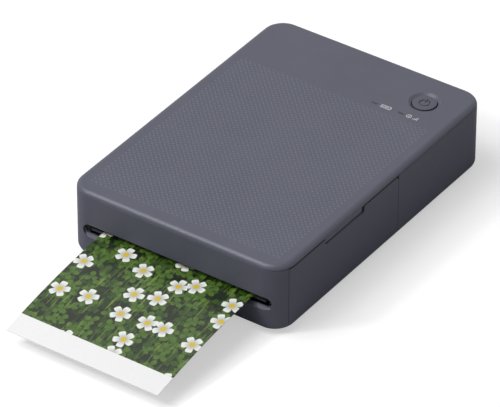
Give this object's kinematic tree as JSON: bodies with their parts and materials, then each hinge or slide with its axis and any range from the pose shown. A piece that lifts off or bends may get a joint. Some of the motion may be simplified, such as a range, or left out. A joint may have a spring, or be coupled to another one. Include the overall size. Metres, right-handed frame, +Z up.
{
  "type": "compact photo printer",
  "caption": "Compact portable photo printer with a hinged top cover, a drop-down cartridge door, a push button, a print mechanism inside and a printed sheet in its front slot.",
  "frame": {"origin": "on the plinth's underside, 0.4 mm above the table, under the middle of the printer's body", "axes": "+Z up, -Y out of the paper slot, +X towards the side with the cartridge door"},
  "size_m": [0.1022, 0.2084, 0.0329],
  "materials": {
    "case_plastic": "fine matt moulded ABS",
    "cover_plastic": "fine matt moulded ABS with a printed dot field",
    "inner_plastic": "plain moulded ABS",
    "gear_plastic": "natural acetal",
    "rubber": "soft moulded rubber",
    "steel": "bare zinc-coated steel",
    "bronze": "sintered bronze",
    "aluminium": "extruded aluminium",
    "ceramic": "glazed ceramic",
    "smoked_window": "smoked clear plastic",
    "circuit_board": "green solder mask",
    "chip_black": "epoxy moulding",
    "lamp": "clear epoxy",
    "ribbon_blue": "dye film",
    "ribbon_red": "dye film",
    "blank_paper": "coated white paper",
    "print": "glossy photo print",
    "battery_wrap": "shrink film"
  },
  "bodies": {
    "base": {"lower_case": "case_plastic", "rubber_feet": "rubber", "case_screws": "steel", "left_plate": "steel", "right_plate": "steel", "cross_rods": "steel", "shaft_bushes": "bronze", "lower_guide": "inner_plastic", "upper_guide": "inner_plastic", "pinch_bearings": "inner_plastic", "pinch_bracket": "steel", "pinch_springs": "steel", "head_pivot": "steel", "feed_motor": "steel", "pickup_motor": "steel", "idler_posts": "steel", "cartridge_shell": "inner_plastic", "ribbon_web": "ribbon_blue", "paper_tray": "inner_plastic", "lift_plate_pin": "steel", "lift_spring": "steel", "battery_pack": "battery_wrap", "main_board": "circuit_board", "board_chips": "chip_black", "usb_socket": "steel"},
    "cover": {"top_cover": "cover_plastic", "cover_liner": "inner_plastic", "liner_screws": "steel", "cover_hinge_pins": "steel", "indicator_windows": "smoked_window", "button_board": "circuit_board", "button_switch": "steel", "indicator_lamps": "lamp"},
    "button": {"power_button": "cover_plastic"},
    "door": {"cartridge_door": "case_plastic", "door_hinge_pins": "steel"},
    "feed": {"feed_roller": "steel", "feed_gear": "gear_plastic"},
    "feed_pinion_body": {"feed_pinion": "gear_plastic"},
    "takeup": {"takeup_spool": "gear_plastic", "takeup_ribbon": "ribbon_red", "takeup_gear": "gear_plastic"},
    "supply": {"supply_spool": "gear_plastic", "supply_ribbon": "ribbon_blue"},
    "pinch": {"pinch_roller": "rubber"},
    "platen": {"platen_shaft": "steel", "platen_rubber": "rubber"},
    "head": {"head_arm": "steel", "heat_sink": "aluminium", "thermal_head": "ceramic", "head_springs": "steel"},
    "pickup": {"pickup_shaft": "steel", "pickup_tyre": "rubber", "pickup_gear": "gear_plastic"},
    "idler_front": {"pickup_idler_front": "gear_plastic"},
    "idler_rear": {"pickup_idler_rear": "gear_plastic"},
    "pickup_pinion_body": {"pickup_pinion": "gear_plastic"},
    "lift": {"lift_plate": "steel", "paper_stack": "blank_paper"},
    "sheet": {"printed_sheet": "print"}
  },
  "joints": [
    {"name": "cover_hinge", "type": "hinge", "parent": "base", "child": "cover", "pos_m": [0, 0.07055, 0.03055], "axis": [-1, 0, 0], "range_deg": [0, 68]},
    {"name": "power_button_press", "type": "slide", "parent": "cover", "child": "button", "axis": [0, 0, -1], "range_m": [0, 0.00035], "stiffness_N_per_m": 4500},
    {"name": "door_hinge", "type": "hinge", "parent": "base", "child": "door", "pos_m": [0.0479, -0.0289, 0.0046], "axis": [0, 1, 0], "range_deg": [0, 90]},
    {"name": "sheet_slide", "type": "slide", "parent": "base", "child": "sheet", "axis": [0, -1, 0], "range_m": [0, 0.022]},
    {"name": "feed_spin", "type": "hinge", "parent": "base", "child": "feed", "pos_m": [0, -0.0624, 0.0115], "axis": [1, 0, 0], "continuous": true},
    {"name": "feed_pinion_spin", "type": "hinge", "parent": "base", "child": "feed_pinion_body", "pos_m": [0, -0.0529, 0.00823], "axis": [1, 0, 0], "continuous": true},
    {"name": "takeup_spin", "type": "hinge", "parent": "base", "child": "takeup", "pos_m": [0, -0.05372, 0.02222], "axis": [1, 0, 0], "continuous": true},
    {"name": "supply_spin", "type": "hinge", "parent": "base", "child": "supply", "pos_m": [0, -0.01202, 0.02222], "axis": [1, 0, 0], "continuous": true},
    {"name": "pinch_spin", "type": "hinge", "parent": "base", "child": "pinch", "pos_m": [0, -0.0624, 0.01785], "axis": [1, 0, 0], "continuous": true},
    {"name": "platen_spin", "type": "hinge", "parent": "base", "child": "platen", "pos_m": [0, -0.032, 0.0104], "axis": [1, 0, 0], "continuous": true},
    {"name": "pickup_spin", "type": "hinge", "parent": "base", "child": "pickup", "pos_m": [0, 0.0095, 0.0211], "axis": [1, 0, 0], "continuous": true},
    {"name": "idler_rear_spin", "type": "hinge", "parent": "base", "child": "idler_rear", "pos_m": [0, -0.00081, 0.01395], "axis": [1, 0, 0], "continuous": true},
    {"name": "idler_front_spin", "type": "hinge", "parent": "base", "child": "idler_front", "pos_m": [0, -0.01377, 0.01238], "axis": [1, 0, 0], "continuous": true},
    {"name": "pickup_pinion_spin", "type": "hinge", "parent": "base", "child": "pickup_pinion_body", "pos_m": [0, -0.0222, 0.0079], "axis": [1, 0, 0], "continuous": true},
    {"name": "head_pivot", "type": "hinge", "parent": "base", "child": "head", "pos_m": [0, 0.0015, 0.0265], "axis": [1, 0, 0], "range_deg": [0, 3.4], "deforming": ["ribbon_web"]},
    {"name": "lift_plate_hinge", "type": "hinge", "parent": "base", "child": "lift", "pos_m": [0, 0.0645, 0.01135], "axis": [1, 0, 0], "range_deg": [0, 1], "stiffness_Nm_per_rad": 0.6, "springref_deg": -3.44, "deforming": ["lift_spring"]}
  ],
  "couplings": [
    {"joint": "feed_pinion_spin", "follows": "feed_spin", "ratio": -2.3333},
    {"joint": "takeup_spin", "follows": "feed_spin", "ratio": -1.037},
    {"joint": "pinch_spin", "follows": "feed_spin", "ratio": -1.4},
    {"joint": "supply_spin", "follows": "feed_spin", "ratio": -0.77175},
    {"joint": "idler_rear_spin", "follows": "pickup_spin", "ratio": -0.92308},
    {"joint": "idler_front_spin", "follows": "pickup_spin", "ratio": 0.92308},
    {"joint": "pickup_pinion_spin", "follows": "pickup_spin", "ratio": -2}
  ]
}
